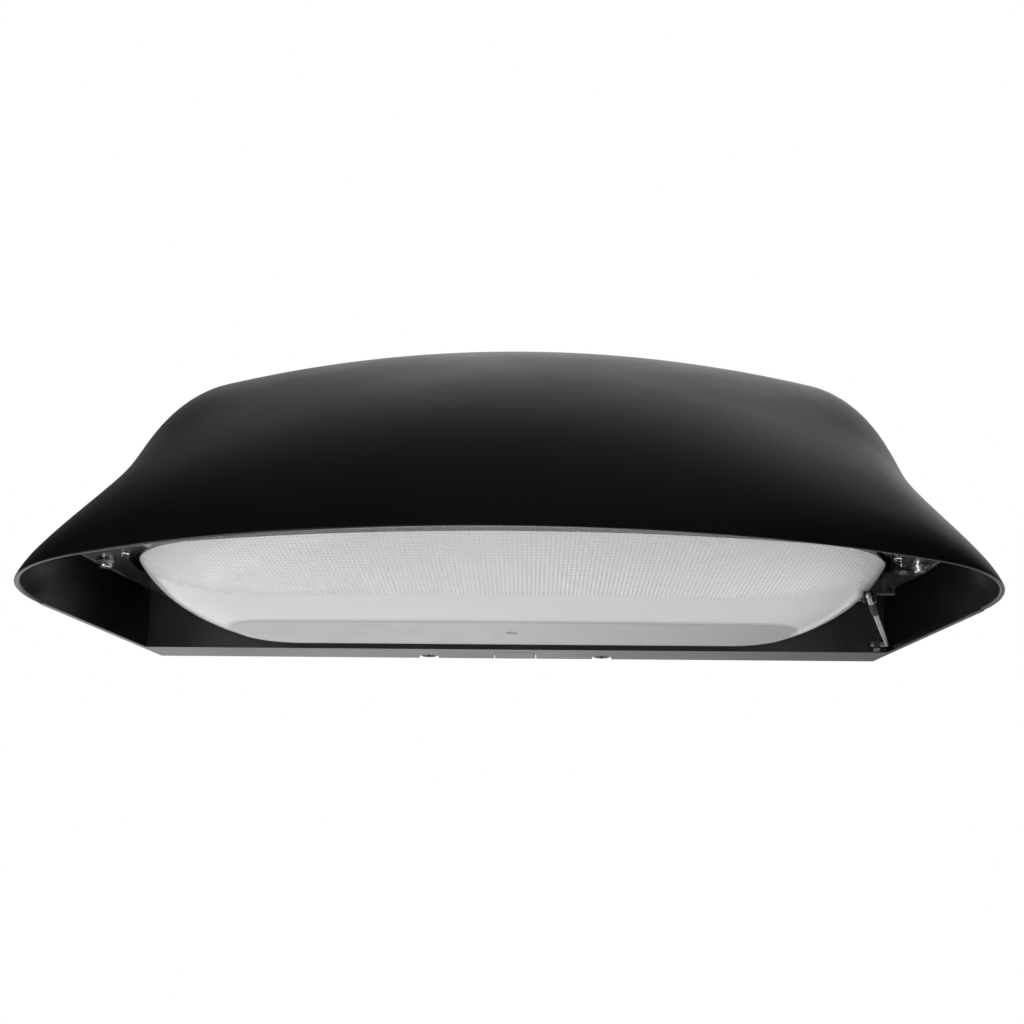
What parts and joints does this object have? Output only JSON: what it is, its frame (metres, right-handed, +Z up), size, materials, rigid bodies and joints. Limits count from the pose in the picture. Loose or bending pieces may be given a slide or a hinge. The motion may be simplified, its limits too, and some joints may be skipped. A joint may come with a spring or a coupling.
{
  "type": "wall pack light",
  "caption": "Black hooded wall pack light that hangs on a wall plate and shines down through a clear prismatic bowl lens.",
  "frame": {"origin": "on the wall, in the middle of the four wall fixings", "axes": "+Y into the wall, +Z up, +X across, so the light faces -Y"},
  "size_m": [0.4575, 0.272, 0.1679],
  "materials": {
    "hood_black": "satin powder coat, fine texture",
    "frame_black": "satin powder coat",
    "tray_black": "matt black",
    "plate_zinc": "zinc plated",
    "bright_steel": "bright plated",
    "black_screws": "black oxide",
    "rod_steel": "bright drawn wire",
    "clip_steel": "bright spring steel",
    "ground_green": "green plated",
    "gasket_foam": "closed-cell foam",
    "gasket_rubber": "matt",
    "lens_clear": "clear, prismatic",
    "reflector_white": "gloss white",
    "board_white": "white solder mask",
    "chip_yellow": "phosphor",
    "sink_aluminium": "mill finish",
    "driver_case": "matt",
    "block_plastic": "matt",
    "terminal_brass": "bright",
    "lead_sleeve": "smooth sleeve"
  },
  "bodies": {
    "wall_mount": {"wall_plate": "plate_zinc", "box_gasket": "gasket_foam", "hanger_pins": "bright_steel", "lock_screws": "bright_steel", "ground_screw": "ground_green"},
    "housing": {"hood": "hood_black", "hood_screws": "bright_steel", "back_frame": "frame_black", "conduit_knockout": "frame_black", "lens": "lens_clear", "lens_gasket": "gasket_rubber", "lens_screws": "bright_steel", "lens_washers": "bright_steel", "optical_tray": "tray_black", "tray_screws": "black_screws", "reflector": "reflector_white", "led_boards": "board_white", "led_chips": "chip_yellow", "heat_sink": "sink_aluminium", "sink_brackets": "plate_zinc", "bracket_screws": "bright_steel", "driver": "driver_case", "driver_bracket": "plate_zinc", "driver_screws": "bright_steel", "terminal_block": "block_plastic", "terminal_screws": "terminal_brass", "lead_grommet": "gasket_rubber", "supply_leads": "lead_sleeve", "board_leads": "lead_sleeve", "rod_saddle": "frame_black", "rod_clip": "clip_steel", "clip_rivet": "clip_steel"},
    "prop_rod": {"prop_rod": "rod_steel"}
  },
  "joints": [
    {"name": "housing_tilt", "type": "hinge", "parent": "wall_mount", "child": "housing", "pos_m": [0, -0.009, 0.07975], "axis": [-1, 0, 0], "range_deg": [0, 17]},
    {"name": "prop_rod_swing", "type": "hinge", "parent": "housing", "child": "prop_rod", "pos_m": [0.19015, -0.0305, -0.07365], "axis": [1, 0, 0], "range_deg": [0, 100]}
  ]
}
